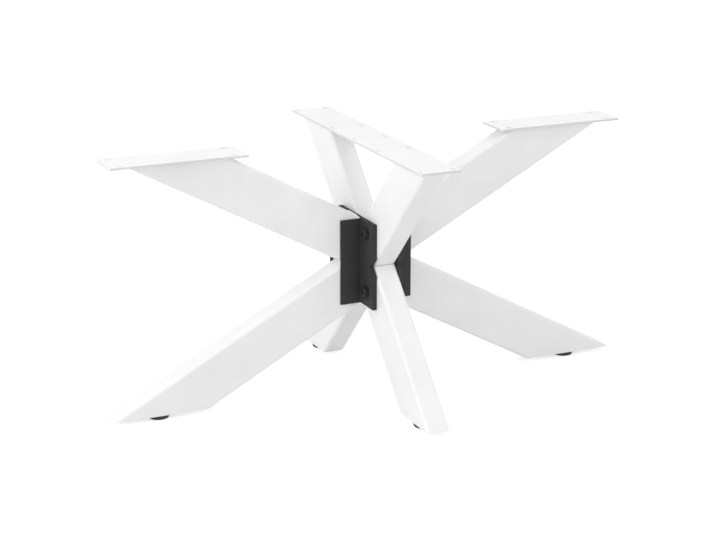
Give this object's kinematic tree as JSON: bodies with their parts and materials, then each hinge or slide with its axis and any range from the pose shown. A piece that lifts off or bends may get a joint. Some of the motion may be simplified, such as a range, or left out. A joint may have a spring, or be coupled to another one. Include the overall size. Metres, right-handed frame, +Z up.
{
  "type": "x shaped table leg",
  "caption": "Spider-shaped steel base for a low table: crossed V frames of rectangular tube clamped by black brackets, with slotted top plates and levelling feet.",
  "frame": {"origin": "on the floor, under the middle of the joint where the four V frames meet", "axes": "+X runs along the side frames, towards the right one; +Y runs along the cross frame to its back; +Z is up"},
  "size_m": [0.925, 0.533, 0.43],
  "materials": {
    "white_powder_coat": "satin white powder coat",
    "black_powder_coat": "fine matt black powder coat",
    "black_steel": "black oxide, slightly oily",
    "zinc_steel": "bright zinc plating",
    "black_plastic": "moulded black plastic"
  },
  "bodies": {
    "frame": {"back_foot_nut": "zinc_steel", "back_foot_plate": "white_powder_coat", "back_lower_arm": "white_powder_coat", "back_lower_clamp_bolt": "black_steel", "back_lower_clamp_nut": "black_steel", "back_lower_left_washer": "black_steel", "back_lower_right_washer": "black_steel", "back_lower_spacer": "zinc_steel", "back_upper_arm": "white_powder_coat", "back_upper_clamp_bolt": "black_steel", "back_upper_clamp_nut": "black_steel", "back_upper_left_washer": "black_steel", "back_upper_right_washer": "black_steel", "back_upper_spacer": "zinc_steel", "centre_top_plate": "white_powder_coat", "front_foot_nut": "zinc_steel", "front_foot_plate": "white_powder_coat", "front_lower_arm": "white_powder_coat", "front_lower_clamp_bolt": "black_steel", "front_lower_clamp_nut": "black_steel", "front_lower_left_washer": "black_steel", "front_lower_right_washer": "black_steel", "front_lower_spacer": "zinc_steel", "front_upper_arm": "white_powder_coat", "front_upper_clamp_bolt": "black_steel", "front_upper_clamp_nut": "black_steel", "front_upper_left_washer": "black_steel", "front_upper_right_washer": "black_steel", "front_upper_spacer": "zinc_steel", "left_back_ear": "black_powder_coat", "left_bracket_plate": "black_powder_coat", "left_end_plate": "white_powder_coat", "left_foot_nut": "zinc_steel", "left_foot_plate": "white_powder_coat", "left_front_ear": "black_powder_coat", "left_lower_arm": "white_powder_coat", "left_lower_frame_screw": "zinc_steel", "left_top_plate": "white_powder_coat", "left_upper_arm": "white_powder_coat", "left_upper_frame_screw": "zinc_steel", "right_back_ear": "black_powder_coat", "right_bracket_plate": "black_powder_coat", "right_end_plate": "white_powder_coat", "right_foot_nut": "zinc_steel", "right_foot_plate": "white_powder_coat", "right_front_ear": "black_powder_coat", "right_lower_arm": "white_powder_coat", "right_lower_frame_screw": "zinc_steel", "right_top_plate": "white_powder_coat", "right_upper_arm": "white_powder_coat", "right_upper_frame_screw": "zinc_steel"},
    "front_foot": {"front_level_stud": "zinc_steel", "front_level_pad": "black_plastic"},
    "back_foot": {"back_level_stud": "zinc_steel", "back_level_pad": "black_plastic"},
    "left_foot": {"left_level_stud": "zinc_steel", "left_level_pad": "black_plastic"},
    "right_foot": {"right_level_stud": "zinc_steel", "right_level_pad": "black_plastic"}
  },
  "joints": [
    {"name": "front_foot_screw", "type": "slide", "parent": "frame", "child": "front_foot", "axis": [0, 0, -1], "range_m": [0, 0.01]},
    {"name": "back_foot_screw", "type": "slide", "parent": "frame", "child": "back_foot", "axis": [0, 0, -1], "range_m": [0, 0.01]},
    {"name": "left_foot_screw", "type": "slide", "parent": "frame", "child": "left_foot", "axis": [0, 0, -1], "range_m": [0, 0.01]},
    {"name": "right_foot_screw", "type": "slide", "parent": "frame", "child": "right_foot", "axis": [0, 0, -1], "range_m": [0, 0.01]}
  ]
}
